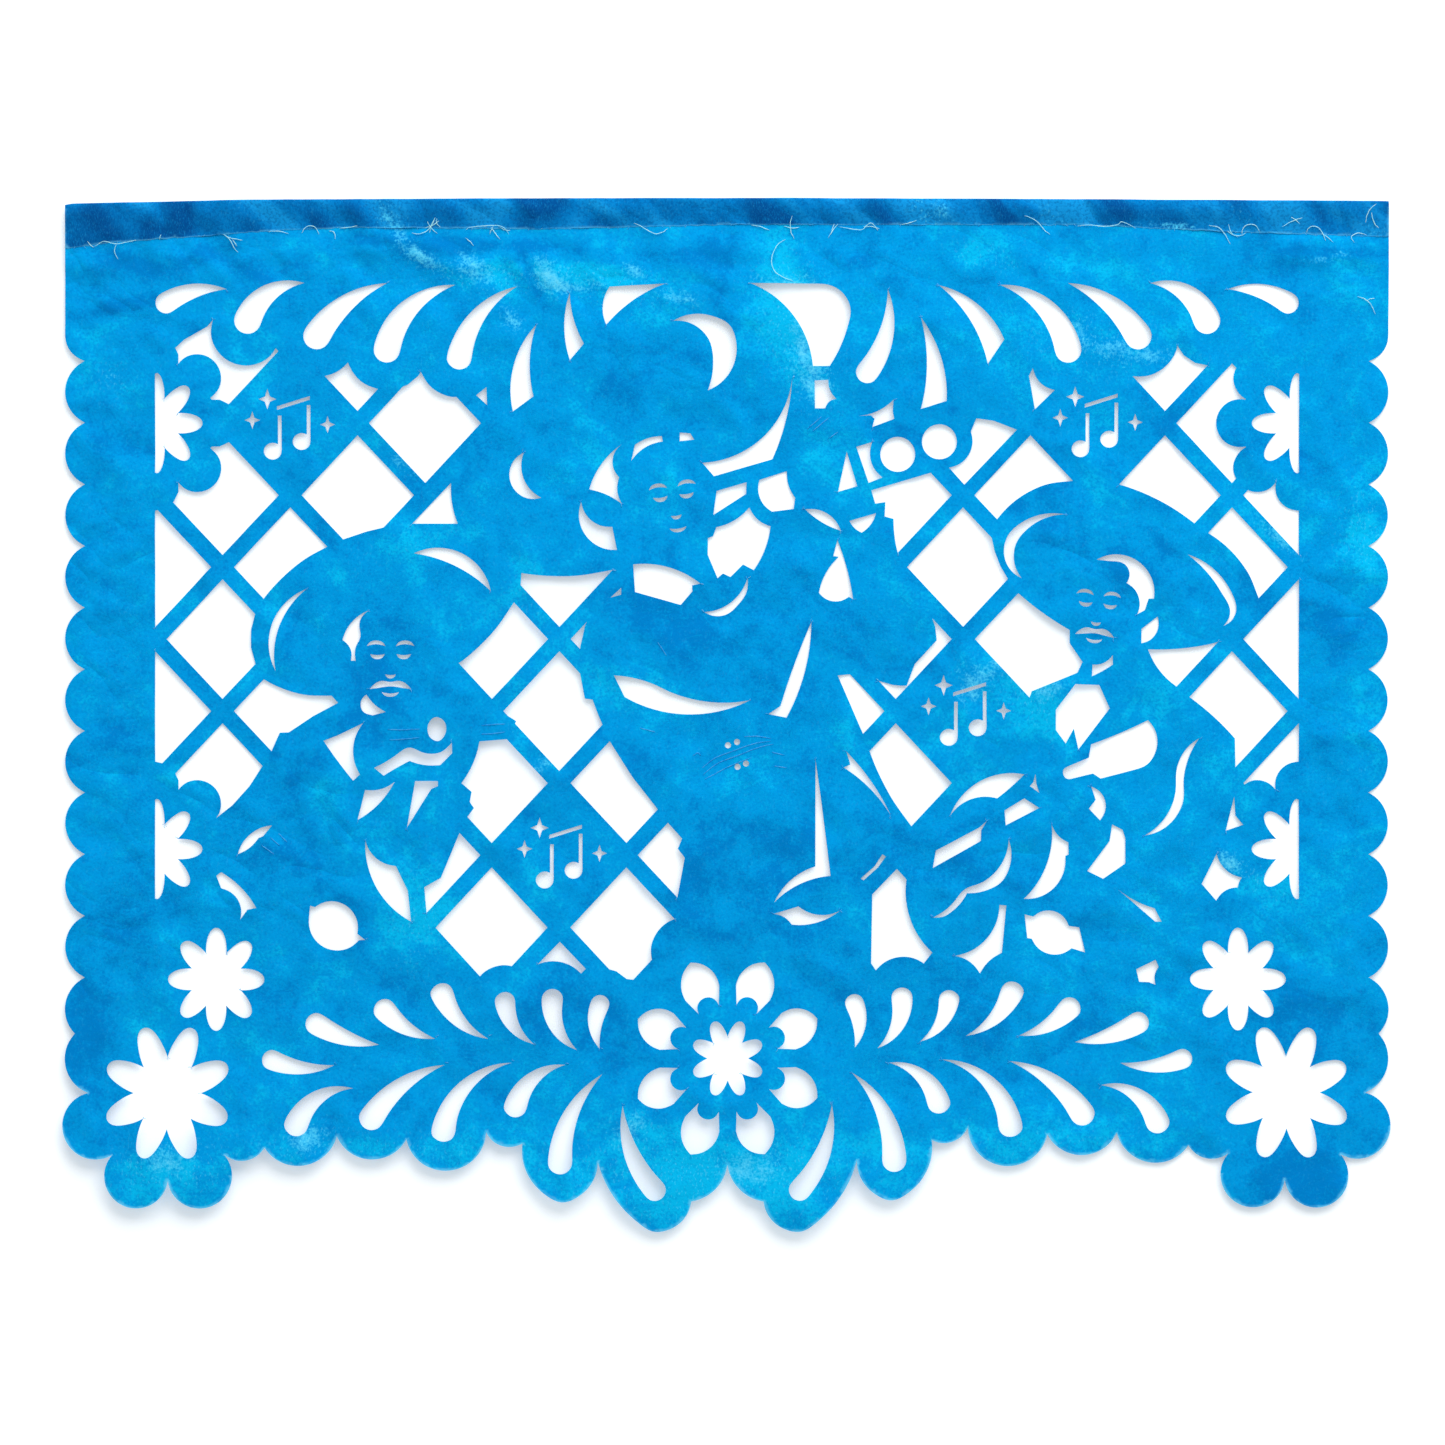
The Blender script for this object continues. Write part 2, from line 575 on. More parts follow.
# Worn, whitish places: (x, y, reach across, reach up, slant in degrees, strength)
WORN = [
    (151, 162.6, 14, 1.3, -3, 0.9), (-112, 164.5, 9, 2.6, -48, 0.8), (70, 169, 9, 2.4, -40, 0.6),
    (-102, 152, 10, 3, -28, 0.9), (-84, 149, 9, 5, -40, 0.8), (-60, 147, 4, 8, 35, 0.9),
    (-50, 143, 14, 3, 0, 0.6), (-31, 148, 5, 2.5, -35, 0.8), (-16, 139, 8, 2.5, -15, 0.8),
    (-72, 132, 6, 4, -50, 0.7), (20, 144, 13, 3, 0, 0.7), (26, 122, 7, 12, 10, 0.8),
    (30, 108, 6, 7, 0, 0.6), (-140, -141, 8, 5, 20, 0.9), (-186, -148, 11, 6, 10, 0.8),
    (-205, 112, 4, 2, -40, 0.5), (132, 121, 20, 4, -6, 0.7), (116, 129, 5, 5, -50, 0.6),
    (168, -50, 6, 3, -40, 0.9), (8, -152, 12, 7, 0, 0.8), (-32, -138, 6, 8, -45, 0.7),
    (-34, -170, 4, 2, 0, 0.6), (-110, 85, 12, 3, -48, 0.5), (-60, -15, 12, 3, 48, 0.7),
    (-72, 22, 10, 3, -48, 0.7), (90, 17, 12, 4, 48, 0.7), (183, 60, 12, 3, -48, 0.7),
    (106, 8, 7, 4, 30, 0.8), (-200, 36, 6, 4, -48, 0.3), (80, 10, 5, 9, 10, 0.6),
    (-68, -4, 6, 3, 10, 0.4), (200, 152, 9, 1.6, 8, 0.7), (212, -20, 8, 4, -20, 0.3),
    (-28, 12, 10, 2, -15, 0.5),
]

# Paler and deeper places in the dye: (x, y, reach across, reach up, slant in degrees, amount)
TONES = [
    (-92, 157, 34, 3.0, -3, -1.0), (-66, 147, 12, 1.5, -68, -1.1), (-48, 154, 14, 3.0, -10, -0.8),
    (-18, 153, 22, 4.0, 4, -0.7), (68, 154, 10, 3.0, -35, -0.9), (101, 150, 12, 2.2, -55, -0.8),
    (204, 154, 18, 1.5, -3, -1.2), (-196, 150, 20, 2.5, -20, -0.7), (-205, 135, 16, 2.0, 12, -0.8),
    (-160, 148, 14, 2.0, -30, -0.5), (-178, 128, 14, 2.0, -35, -0.5), (-62, 147, 36, 6, 3, 0.9),
    (-36, 143, 18, 8, -20, 0.5), (22, 133, 12, 22, 10, 1.2), (86, 152, 24, 6, -4, 0.6),
    (120, 124, 26, 12, -8, 0.5), (-205, 112, 12, 10, 0, 0.4), (-115, -146, 46, 8, 0, 0.6),
    (-184, -152, 26, 12, 0, 0.7), (-5, -155, 50, 18, 0, 1.0), (-104, -68, 10, 20, 0, 0.7),
    (103, 8, 10, 18, 30, 0.9), (212, 62, 9, 18, 0, 0.8), (-62, 38, 14, 14, 0, 0.6),
    (-35, 10, 18, 7, -15, 0.4), (-110, 55, 30, 8, 20, 0.35), (178, -56, 12, 7, -20, 0.6),
    (110, -142, 40, 8, 0, 0.5), (190, -155, 18, 12, 0, -1.0), (-214, -104, 10, 24, 0, -0.9),
    (6, -60, 24, 26, 0, -0.55), (-118, 12, 12, 24, 0, -0.9), (-18, 30, 34, 16, -10, -0.7),
    (82, -102, 34, 12, 0, -0.6), (-55, -102, 22, 12, 0, -0.7), (205, 30, 14, 9, 0, -0.7),
    (98, 78, 14, 12, 0, -0.3), (55, -40, 22, 20, 0, -0.4), (70, -52, 24, 12, 30, -0.4),
    (-150, -30, 12, 26, 20, -0.5), (-200, -60, 18, 14, -20, -0.5), (-205, 148, 20, 8, -10, -0.4),
    (140, 45, 26, 6, -15, -0.5), (-20, 112, 26, 10, 10, -0.4), (52, 148, 14, 6, 0, -0.5),
    (190, -98, 26, 12, 0, -0.4),
]

# The same for the darker doubled hem
HEM_TONES = [
    (-212, 163, 14, 4, -38, -1.2), (-190, 161, 12, 3, -30, -1.0), (-160, 167, 16, 3, -38, 0.5),
    (-112, 164, 7, 5, -50, 1.3), (-58, 168, 9, 3, -50, -0.9), (-40, 168, 22, 4, 0, 0.3),
    (16, 167, 14, 4, -20, -0.8), (128, 165, 18, 3, 0, -0.7), (158, 168, 6, 2.5, -35, -0.9),
    (67, 167, 8, 3.5, -48, 1.5), (84, 168, 8, 4, 0, -0.5), (110, 165, 8, 4, -30, 1.0),
    (140, 167, 24, 4, -25, -0.8), (172, 166, 10, 3, -40, 0.6), (195, 166, 11, 4, -30, -1.0),
    (212, 161, 9, 3, 0, 0.7),
]


def patches_at(points, patches):
    """The sum of soft slanted patches at each point."""
    x, y = points.T
    total = np.zeros(len(points))
    for cx, cy, across, up, slant, amount in patches:
        c, s = math.cos(math.radians(slant)), math.sin(math.radians(slant))
        u, v = (x - cx) * c + (y - cy) * s, (y - cy) * c - (x - cx) * s
        total += amount * np.exp(-((u / across) ** 2) - (v / up) ** 2)
    return total


# Where the paper is creased most; elsewhere it is nearly smooth
CREASED = [
    (-110, 148, 130, 18, 0, 0.9), (60, 150, 80, 14, 0, 0.5), (200, 150, 30, 14, 0, 0.7),
    (-210, 60, 22, 120, 0, 0.8), (-150, -30, 26, 40, 0, 0.9), (-110, -50, 36, 30, 0, 0.5),
    (-195, -70, 34, 34, 0, 0.6), (206, 30, 22, 60, 0, 0.7), (135, 45, 44, 22, 0, 0.7),
    (0, 30, 60, 30, 0, 0.35), (105, -50, 50, 40, 0, 0.6), (-20, 115, 40, 22, 0, 0.5),
    (160, -100, 50, 24, 0, 0.4),
]

# How much the paper is creased everywhere, how far past the fold a rim counts as torn and how
# pale it is then, and how far below the sheet's middle its lower edges turn pale
LEAST_CREASED = 0.22
PAST_FOLD = 2
PALE_TORN = 0.74
PALE_BELOW = (110, 130)

laid = middle[:, :2]
creased = np.clip(LEAST_CREASED + patches_at(laid, CREASED), 0, 1)
doubled = smoothstep(flat[:, 1] - flat_fold_at(flat[:, 0]), -0.8, 0.4)
worn = np.clip(patches_at(laid, WORN), 0, 1)
tone = np.where(doubled > 0.5, patches_at(laid, HEM_TONES), patches_at(laid, TONES))

# The rim is pale where it is torn, and where the outline faces down near the bottom
on_outline = np.arange(len(flat)) < len(outline)
facing_up = np.zeros(len(flat))
facing_up[on_outline] = way_round * (np.roll(outline, 1, 0) - np.roll(outline, -1, 0))[:, 0]
on_rim = np.zeros(len(flat))
on_rim[np.unique(rim)] = 1.0
is_torn = flat[:, 1] > flat_fold_at(flat[:, 0]) + PAST_FOLD
by_bottom = (on_outline & (facing_up < 0)) * smoothstep(-laid[:, 1], *PALE_BELOW)
pale_rim = on_rim * np.maximum(PALE_TORN * is_torn, by_bottom)


# Materials


class Nodes:
    """Adds nodes to a material and joins them."""

    def __init__(self, name):
        self.material = bpy.data.materials.new(name)
        self.material.use_nodes = True
        self.tree = self.material.node_tree
        self.tree.nodes.clear()

    def add(self, kind, settings=None, **inputs):
        """A new node. Its inputs are given by name, or by number, as in i0."""
        node = self.tree.nodes.new("ShaderNode" + kind)
        for key, value in (settings or {}).items():
            setattr(node, key, value)
        for key, value in inputs.items():
            by_number = key[0] == "i" and key[1:].isdigit()
            socket = node.inputs[int(key[1:]) if by_number else key.replace("_", " ")]
            if isinstance(value, bpy.types.NodeSocket):
                self.tree.links.new(value, socket)
            else:
                socket.default_value = value
        return node

    def value_of(self, name):
        """A value that each of the piece's points carries."""
        return self.add("Attribute", {"attribute_name": name}).outputs["Fac"]

    def noise(self, place, scale, detail, rough=0.55, distortion=0.0, heading=0, stretch=None):
        """Noise from 0 to 1, with scale features to a metre. Where it is stretched, the heading,
        in degrees, is turned to lie along X, and each axis is scaled."""
        if stretch:
            turn = (0, 0, math.radians(-heading))
            place = self.add("Mapping", Vector=place, Rotation=turn).outputs[0]
            place = self.add("Mapping", Vector=place, Scale=stretch).outputs[0]
        inputs = {"Scale": scale, "Detail": detail, "Roughness": rough, "Distortion": distortion}
        return self.add("TexNoise", Vector=place, **inputs).outputs["Fac"]

    def math(self, operation, a, b=0.0):
        return self.add("Math", {"operation": operation}, i0=a, i1=b).outputs[0]

    def weighed(self, *parts):
        """The sum of values, each times its weight."""
        total = None
        for value, weight in parts:
            part = self.math("MULTIPLY", value, weight)
            total = part if total is None else self.math("ADD", total, part)
        return total

    def ridges(self, value, amount):
        """Noise turned into sharp ridges, times an amount."""
        off_middle = self.math("ABSOLUTE", self.math("SUBTRACT", value, 0.5))
        return self.math("MULTIPLY", off_middle, amount)

    def between(self, value, low, high, to_low=0.0, to_high=1.0):
        """Goes smoothly from to_low to to_high while the value goes from low to high."""
        ranges = dict(From_Min=low, From_Max=high, To_Min=to_low, To_Max=to_high)
        kind = {"interpolation_type": "SMOOTHSTEP"}
        return self.add("MapRange", kind, Value=value, **ranges).outputs[0]

    def mix(self, amount, a, b):
        """The colour a with that amount of the colour b."""
        return self.add("Mix", {"data_type": "RGBA"}, i0=amount, i6=a, i7=b).outputs[2]

    def thin_surface(self, colour, roughness, bump, gloss, through_share):
        """The material's surface, which lets some light through, as paper and fibres do."""
        shared = {"Roughness": roughness, "Normal": bump, "Specular IOR Level": gloss}
        face = self.add("BsdfPrincipled", Base_Color=colour, **shared).outputs[0]
        through = self.add("BsdfTranslucent", Color=colour, Normal=bump).outputs[0]
        both = self.add("MixShader", i0=through_share, i1=face, i2=through)
        self.add("OutputMaterial", Surface=both.outputs[0])
        return self.material


# The dye: the single sheet, the doubled hem, worn places and torn edges
BLUE = (0.0003, 0.338, 0.780, 1)
DEEP_BLUE = (0.0001, 0.225, 0.625, 1)
LIGHT_BLUE = (0.002, 0.52, 0.90, 1)
HEM_DEEP = (0.0010, 0.080, 0.30, 1)
HEM_BLUE = (0.0006, 0.190, 0.545, 1)
HEM_LIGHT = (0.006, 0.300, 0.72, 1)
WORN_BLUE = (0.075, 0.66, 1.0, 1)
WORN_WHITE = (0.18, 0.76, 1.0, 1)
EDGE_BLUE = (0.15, 0.68, 1.0, 1)

# How deep relief of height 1 is, how glossy the face is, and how much light goes through
PAPER_RELIEF = 0.001
PAPER_GLOSS = 0.015
PAPER_THROUGH = 0.12
FIBRE_RELIEF = 0.00005
FIBRE_GLOSS = 0.5
FIBRE_THROUGH = 0.4


def paper_material():
    """Soft dyed paper with cloudy dye, long strands, worn places and a darker doubled hem."""
    n = Nodes("blue_paper")
    place = n.add("TexCoord").outputs["Object"]
    worn_value = n.value_of("worn")
    doubled_value = n.value_of("doubled")
    tone_value = n.value_of("tone")
    creased_value = n.value_of("creased")
    rim_value = n.value_of("pale_rim")

    # clouds and patches in the dye, pores, and strands that run two ways
    clouds = n.noise(place, 38, detail=3, rough=0.6, distortion=0.8)
    patches = n.noise(place, 170, detail=3, rough=0.65)
    pores = n.noise(place, 1100, detail=1, rough=0.6)
    long, other = (
        n.noise(place, 380, detail=2, rough=0.7, heading=heading, stretch=(1, 6, 1))
        for heading in (12, 74)
    )
    strand = n.math("MAXIMUM", long, other)

    # the single sheet
    shade = n.weighed((clouds, 0.5), (patches, 0.32), (pores, 0.18), (tone_value, 0.18))
    colour = n.mix(n.between(shade, 0.34, 0.50), DEEP_BLUE, BLUE)
    colour = n.mix(n.between(shade, 0.50, 0.68), colour, LIGHT_BLUE)
    colour = n.mix(n.between(strand, 0.58, 0.74, 0, 0.32), colour, LIGHT_BLUE)
    colour = n.mix(n.between(pores, 0.52, 0.34, 0, 0.22), colour, DEEP_BLUE)

    # the doubled hem
    broad = n.noise(place, 62, detail=2, distortion=1.0, heading=-51, stretch=(0.35, 0.8, 1))
    narrow = n.noise(place, 140, detail=0, heading=-51, stretch=(0.28, 0.9, 1))
    threads = n.noise(place, 900, detail=1, rough=0.7, heading=91, stretch=(1, 5, 1))
    hem_shade = n.weighed((broad, 0.65), (narrow, 0.35), (tone_value, 0.08))
    hem_colour = n.mix(n.between(hem_shade, 0.36, 0.52), HEM_DEEP, HEM_BLUE)
    hem_colour = n.mix(n.between(hem_shade, 0.49, 0.64), hem_colour, HEM_LIGHT)
    hem_colour = n.mix(n.between(threads, 0.50, 0.68, 0, 0.42), hem_colour, HEM_LIGHT)
    hem_colour = n.mix(n.between(pores, 0.55, 0.35, 0, 0.40), hem_colour, HEM_DEEP)
    colour = n.mix(doubled_value, colour, hem_colour)

    # worn, whitish places and pale flecks
    rubbed = n.noise(place, 360, detail=3, rough=0.7, heading=-40, stretch=(0.5, 1, 1))
    pore_rims = n.math("SUBTRACT", pores, 0.5)
    rub = n.weighed((rubbed, 0.55), (strand, 0.45), (pore_rims, 0.35), (worn_value, 0.42))
    colour = n.mix(n.between(rub, 0.70, 0.92, 0, 0.75), colour, WORN_BLUE)
    colour = n.mix(n.between(rub, 0.86, 1.0, 0, 0.5), colour, WORN_WHITE)
    specks = n.noise(place, 1300, detail=1, rough=0.8, heading=88, stretch=(0.6, 1, 1))
    fleck_share = n.between(n.math("ADD", tone_value, worn_value), 0.0, 1.2, 0.06, 0.5)
    flecks = n.math("MULTIPLY", n.between(specks, 0.58, 0.72), fleck_share)
    colour = n.mix(flecks, colour, WORN_BLUE)

    # pale rims
    rim_share = n.between(patches, 0.36, 0.5, 0.25, 0.7)
    pale = n.math("MULTIPLY", n.between(rim_value, 0.45, 0.95), rim_share)
    colour = n.mix(pale, colour, EDGE_BLUE)

    # fine relief: pores, soft folds and wrinkles in the sheet, and puckers in the hem
    folds = n.noise(
        place, 52, detail=1, rough=0.5, distortion=0.6, heading=-35, stretch=(0.55, 1, 1)
    )
    wrinkles = n.noise(place, 120, detail=1, heading=20, stretch=(0.6, 1, 1))
    relief = n.weighed(
        (pores, 0.09),
        (n.ridges(folds, creased_value), 2.6),
        (n.ridges(wrinkles, creased_value), 1.0),
        (n.ridges(narrow, doubled_value), 1.8),
    )
    bump = n.add("Bump", Strength=1.0, Distance=PAPER_RELIEF, Height=relief).outputs[0]
    roughness = n.between(patches, 0.3, 0.7, 0.82, 0.95)
    return n.thin_surface(colour, roughness, bump, PAPER_GLOSS, PAPER_THROUGH)


def fibre_material(name, dim, bright):
    """A loose fibre, mottled between two colours."""
    n = Nodes(name)
    place = n.add("TexCoord").outputs["Object"]
    shade = n.noise(place, 700, detail=3, rough=0.6)
    bump = n.add("Bump", Strength=0.3, Distance=FIBRE_RELIEF, Height=shade).outputs[0]
    colour = n.mix(n.between(shade, 0.35, 0.65), dim, bright)
    roughness = n.between(shade, 0.3, 0.7, 0.55, 0.75)
    return n.thin_surface(colour, roughness, bump, FIBRE_GLOSS, FIBRE_THROUGH)


paper = new_piece("paper_banner", np.vstack([front, back]), faces, paper_material())
point_values = dict(worn=worn, doubled=doubled, tone=tone, pale_rim=pale_rim, creased=creased)
for value_name, values in point_values.items():
    attribute = paper.data.attributes.new(value_name, "FLOAT", "POINT")
    attribute.data.foreach_set("value", np.tile(values, 2).astype(np.float32))

# The paper's cut edge stays sharp
rim_keys = {tuple(sorted((int(a) + k, int(b) + k))) for a, b in rim for k in (0, count)}
for edge in paper.data.edges:
    edge.use_edge_sharp = tuple(sorted(edge.vertices)) in rim_keys
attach(paper, "root")
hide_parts("cut_sheet")

# Loose fibres, slits and frayed corners, each a fine tapered tube that lies on the paper

# Fibres and slits are placed from the lattice's middle. This leads to the part's frame.
PLACE_SHIFT = np.array([-0.5, -0.2])

# Fibres that stand out of the flap's torn edge
HEM_FIBRES = [
    [(-210.6, 156.1), (-207.6, 157.8), (-205.4, 157.5), (-203.2, 156.9), (-199.6, 157.6), (-196.3, 158.4)],
    [(-203.2, 156.8), (-203.7, 154.4), (-202.5, 151.8)],
    [(-212.8, 158.0), (-211.8, 156.6), (-210.6, 156.0)],
    [(-188.2, 160.2), (-188.8, 158.4)],
    [(-167.6, 160.3), (-166.2, 159.4), (-164.8, 157.6), (-163.8, 155.6), (-162.5, 154.1)],
    [(-166.6, 159.4), (-164, 158.7), (-161.1, 158.2)],
    [(-164.6, 158.6), (-163.4, 157.0), (-162.9, 156.2)],
    [(-152.7, 161.0), (-150.8, 161.3), (-148.6, 161.2), (-145.8, 160.5)],
    [(-141.4, 160.6), (-140.6, 162.0), (-139.2, 163.0), (-137.5, 162.9), (-136.3, 161.8), (-135.6, 160.2)],
    [(-132.4, 161.4), (-130.9, 161.1), (-130.3, 160.0), (-130.2, 158.5)],
    [(-128.7, 162.3), (-125.9, 162.5), (-122.7, 163.1)],
    [(-104.7, 160.7), (-102.2, 160.3), (-99.8, 161.2), (-98.4, 162.8), (-97.4, 164.4), (-97.0, 165.8)],
    [(-99.6, 164.6), (-98.6, 162.8), (-97.3, 161.4), (-96.2, 160.6)],
    [(-100.2, 162.4), (-98.0, 163.0), (-95.6, 164.8)],
    [(-98.8, 160.6), (-98.1, 163.4), (-96.7, 165.9)],
    [(-96.2, 165.6), (-96.4, 163.8), (-95.0, 162.4)],
    [
        (-86.7, 161.6), (-85.4, 162.5), (-82, 162.9), (-78.7, 163.1),
        (-75.3, 163.0), (-73.3, 161.8), (-72.3, 160.1),
    ],
    [(-78.4, 162.8), (-77.0, 160.8), (-75.3, 158.5)],
    [(-77.4, 163.0), (-78.2, 161.8), (-78.8, 160.3)],
    [(-75.4, 162.6), (-73.8, 161.8), (-71.9, 161.5)],
    [(-86.7, 159.0), (-85.2, 157.8), (-84.0, 156.3)],
    [(-30.8, 164.1), (-28.6, 163.1), (-26.1, 161.5), (-23.5, 160.4), (-21.2, 160.9), (-19.4, 162.2)],
    [(8.4, 163.4), (11.4, 162.9), (14.5, 161.7)],
    [(22.2, 166.4), (21.5, 164.2), (21.7, 161.2), (22.9, 158.6)],
    [(19.4, 163.0), (22.0, 162.3), (24.4, 162.6)],
    [
        (19.9, 158.6), (17.4, 156.9), (15.9, 154.2), (15.2, 150.9),
        (16.0, 148.3), (18.2, 146.3), (22.6, 144.5),
    ],
    [(37.4, 163.8), (35.8, 161.8), (34.2, 159.1)],
    [(36.2, 163.9), (35.6, 162.3), (35.0, 160.3)],
    [
        (38.0, 162.8), (41.2, 162.2), (45.1, 161.8), (46.8, 163.0),
        (48.2, 164.1), (49.6, 163.0), (50.8, 161.5),
    ],
    [(45.8, 162.8), (48.4, 162.9), (51.2, 162.2)],
    [(58.4, 163.5), (61.2, 164.1), (63.8, 165.0)],
    [(99.4, 166.5), (102.2, 165.4), (104.4, 163.8), (106.2, 161.6), (108.2, 160.1)],
    [
        (117.1, 163.0), (121, 163.3), (126, 162.8), (130.2, 163.3),
        (131.8, 164.3), (134.3, 163.5), (136.8, 162.2),
    ],
    [(160.8, 163.2), (163.4, 162.8), (165.2, 161.7), (166.8, 159.6), (168.2, 157.0)],
    [(167.5, 163.8), (168.1, 161.6), (169.0, 160.2), (170.8, 159.4)],
    [(167.0, 161.4), (169.4, 160.0), (171.8, 159.8), (173.4, 160.8)],
    [(172.0, 160.0), (172.3, 161.9), (173.4, 163.2), (175.2, 163.6), (176.8, 162.9), (178.0, 161.0)],
    [(185.3, 162.7), (187.4, 163.9), (189.8, 165.0), (192.3, 165.8)],
    [(188.2, 166.1), (189.8, 165.2), (191.4, 163.6)],
    [(193.6, 160.7), (194.0, 162.0), (195.6, 162.9), (197.4, 162.4), (198.9, 160.6), (199.9, 158.1)],
    [(198.4, 160.8), (200.2, 159.5), (202.5, 157.6)],
    [(209.4, 157.6), (208.5, 159.4), (210.2, 160.6), (212.2, 160.6), (213.8, 159.9)],
    [(216.7, 170.4), (214.9, 168.8), (213.7, 166.6), (213.3, 164.0)],
    [(215.2, 167.8), (215.6, 165.2), (216.5, 163.4), (217.7, 162.2)],
    [(210.4, 139.5), (212.6, 138.8), (214.4, 137.5), (215.7, 135.6), (216.6, 133.6)],
    [(213.6, 138.0), (214.8, 138.7), (216.3, 138.9)],
]

# Slits cut for strings and fingers, which haven't opened
SLITS = [
    [(-112.7, -4.8), (-108, -4.9), (-102, -4.7)],
    [(-112.3, -8.3), (-107, -8.0), (-102, -7.5)],
    [(-81.4, -3.5), (-77, -3.1), (-73.6, -3.0)],
    [(-81.4, -6.4), (-77, -6.1), (-73.6, -5.6)],
    [(-154.9, -43.3), (-150.6, -46.4)],
    [(-152, -40.7), (-148.7, -43.6)],
    [(-149.1, -39.5), (-146.3, -42.4)],
    [(6.1, -7.2), (10.6, -7.1), (15.0, -7.8)],
    [(-7.9, -17.6), (-3.5, -14.3), (3.2, -11.7), (9.9, -9.4), (15.0, -8.7)],
    [(-7.6, -19.8), (-2.7, -16.1), (3.9, -13.5), (10.6, -10.9), (15.8, -9.7)],
    [(-7.0, -21.4), (1.4, -17.0), (8.4, -14.2)],
    [(-10.9, -13.5), (-9.4, -12.6), (-8.3, -13.5)],
    [(15.4, -12.4), (19.6, -13.4)],
    [(16.0, -17.0), (20.4, -17.6)],
    [(-28.7, -4.3), (-23.5, -5.7)],
    [(-22.7, 24.3), (-19.8, 19.8)],
    [(27.1, 95.3), (31.9, 99.5)],
    [(28.9, 94.6), (34.4, 99.2)],
    [(34.4, 92.3), (37.4, 94.4)],
]

surface = BVHTree.FromPolygons([tuple(p) for p in front], [tuple(map(int, t)) for t in triangles])


def on_paper(x, y):
    """The height of the paper's front at a place, or None where there is a cut."""
    hit = surface.ray_cast(Vector((x, y, 60)), Vector((0, 0, -1)))[0]
    return None if hit is None else hit.z


def smooth_line(points, step=0.5):
    """A smooth line through the points, with a place about every step."""
    points = np.array(points, float)
    ends = np.vstack([2 * points[0] - points[1], points, 2 * points[-1] - points[-2]])
    line = []
    for a, b, c, d in zip(ends, ends[1:], ends[2:], ends[3:]):
        count = max(2, math.ceil(np.hypot(*(c - b)) / step))
        for t in np.arange(count) / count:
            line.append(
                b
                + (c - a) * t / 2
                + (a - 2.5 * b + 2 * c - d / 2) * t**2
                + (1.5 * (b - c) + (d - a) / 2) * t**3
            )
    return np.array(line + [points[-1]])


def tube(line, radius, flatness=1.0, sides=5):
    """The points and faces of a tapered tube along a line in space."""
    heading = np.gradient(line, axis=0)
    heading /= np.linalg.norm(heading, axis=1, keepdims=True)
    aside = np.cross(heading, (0, 0, 1))
    aside /= np.linalg.norm(aside, axis=1, keepdims=True)
    above = np.cross(aside, heading)
    t = np.linspace(0, 1, len(line))
    girth = radius * (0.3 + 0.7 * np.sin(t * math.pi) ** 0.5)
    rings = []
    for k in range(sides):
        turn = 2 * math.pi * k / sides
        rings.append(
            line + (aside * math.cos(turn) + above * math.sin(turn) * flatness) * girth[:, None]
        )
    points = np.stack(rings, 1).reshape(-1, 3)
    faces = []
    for j in range(len(line) - 1):
        for k in range(sides):
            a, b = j * sides + k, j * sides + (k + 1) % sides
            faces.append((a, b, b + sides, a + sides))
    last = len(points) - sides
    faces.append(tuple(range(sides))[::-1])
    faces.append(tuple(last + k for k in range(sides)))
    return points, faces


# A strand's middle lies this share of its radius above the paper
REST_HEIGHT = 0.8


def strands_piece(name, strands, radius, material, arch=0.06, flatness=1.0, wiggle=0.12):
    """One piece made of fine strands: each is a list of places, and lies on the paper."""
    all_points, all_faces, total = [], [], 0
    for number, places in enumerate(strands):
        line = smooth_line(places)
        reach = np.hypot(*np.diff(line, axis=0).T).sum()
        t = np.linspace(0, 1, len(line))
        for axis, seed in ((0, 0.5), (1, 4.5)):
            sway = [noise.noise(Vector((number * 3.3, k * reach, seed))) for k in t]
            line[:, axis] += wiggle * np.array(sway)
        heights = [on_paper(x, y) for x, y in line]
        known = [h for h in heights if h is not None]
        if not known:
            continue
        heights = np.array([max(known) if h is None else h for h in heights])
        evened = np.convolve(np.pad(heights, 2, "edge"), np.ones(5) / 5, "valid")
        rise = np.maximum(heights, evened) + radius * flatness * REST_HEIGHT
        rise = rise + arch * reach * np.sin(t * math.pi)
        points, faces = tube(np.column_stack([line, rise]), radius, flatness)
        all_points.append(points)
        all_faces += [tuple(i + total for i in face) for face in faces]
        total += len(points)
    piece = new_piece(name, np.vstack(all_points), all_faces, material)
    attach(piece, "root")


# Frayed corners: the shortest cut with them, the sharp bends, and how many of those stay clean
SHORTEST_FRAYED_CUT = 25
SHARP_BEND = math.radians(118)
CLEAN_SHARE = 0.35

# Whiskers on the torn edge: where they end, how far apart they are, and the share left out
WHISKER_END = 218
WHISKER_STEP = 2.6
WHISKER_COUNT = 168
LEFT_OUT_SHARE = 0.45


